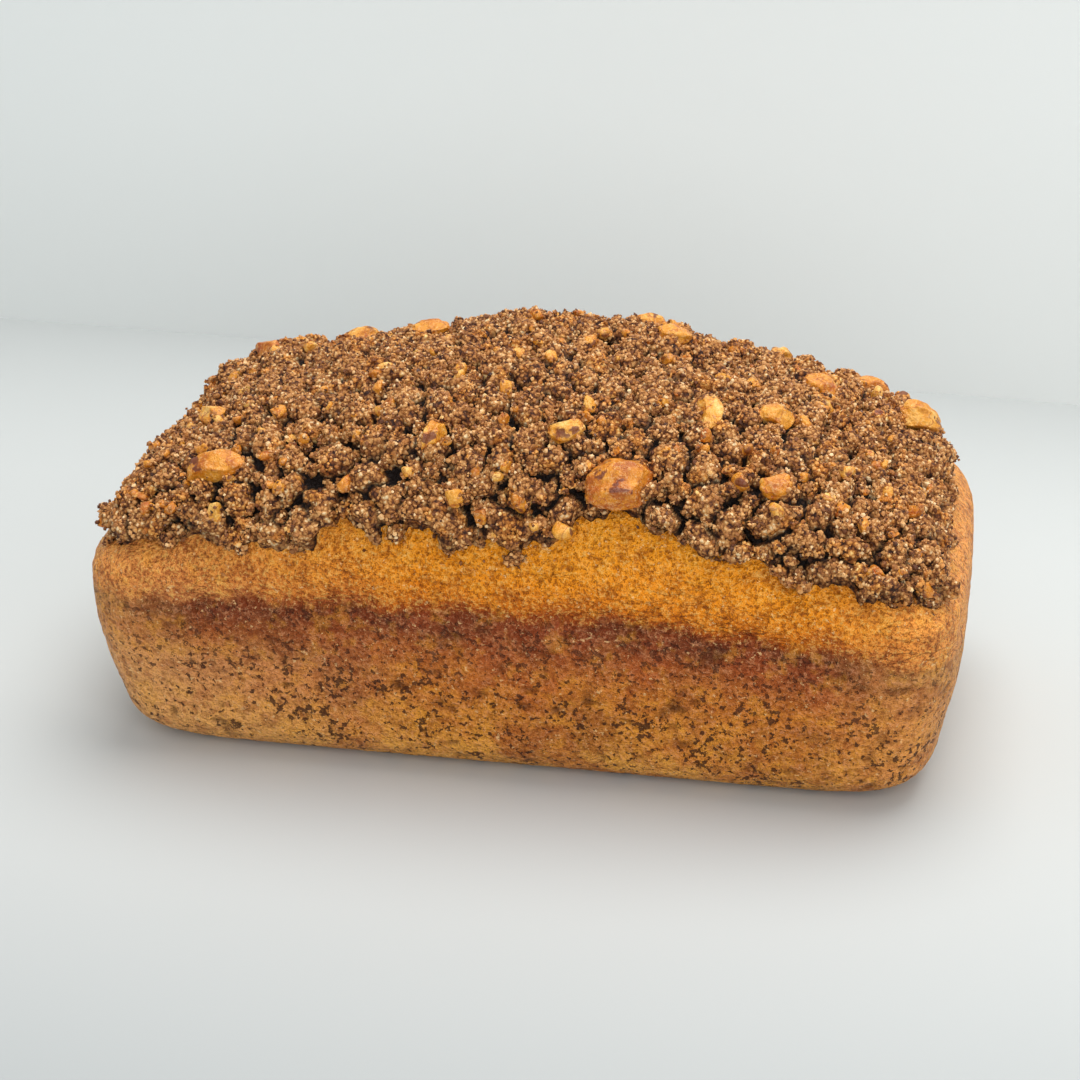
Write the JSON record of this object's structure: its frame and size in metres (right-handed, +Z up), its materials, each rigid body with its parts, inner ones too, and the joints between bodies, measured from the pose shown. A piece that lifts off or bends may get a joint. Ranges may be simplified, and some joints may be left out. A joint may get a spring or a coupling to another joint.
{
  "type": "pound cake loaf",
  "caption": "Domed pound cake baked in a loaf pan, with drafted sides, a soft rounded base and a craggy crumb and chopped pecan topping.",
  "frame": {"origin": "middle of the flat bottom, at the base of the cake", "axes": "+X along the loaf, +Y towards its back long side, +Z up through the dome"},
  "size_m": [0.2157, 0.1117, 0.0998],
  "materials": {
    "cake_crust": "baked, finely grained",
    "crumb_topping": "rough, sugary",
    "pecan": "toasted, slightly oily"
  },
  "bodies": {
    "root": {"loaf": "cake_crust", "crumb_topping": "crumb_topping", "pecan_01": "pecan", "pecan_02": "pecan", "pecan_03": "pecan", "pecan_04": "pecan", "pecan_05": "pecan", "pecan_06": "pecan", "pecan_07": "pecan", "pecan_08": "pecan", "pecan_09": "pecan", "pecan_10": "pecan", "pecan_11": "pecan", "pecan_12": "pecan", "pecan_13": "pecan", "pecan_14": "pecan", "pecan_15": "pecan", "pecan_16": "pecan", "pecan_17": "pecan", "pecan_18": "pecan"}
  },
  "joints": []
}
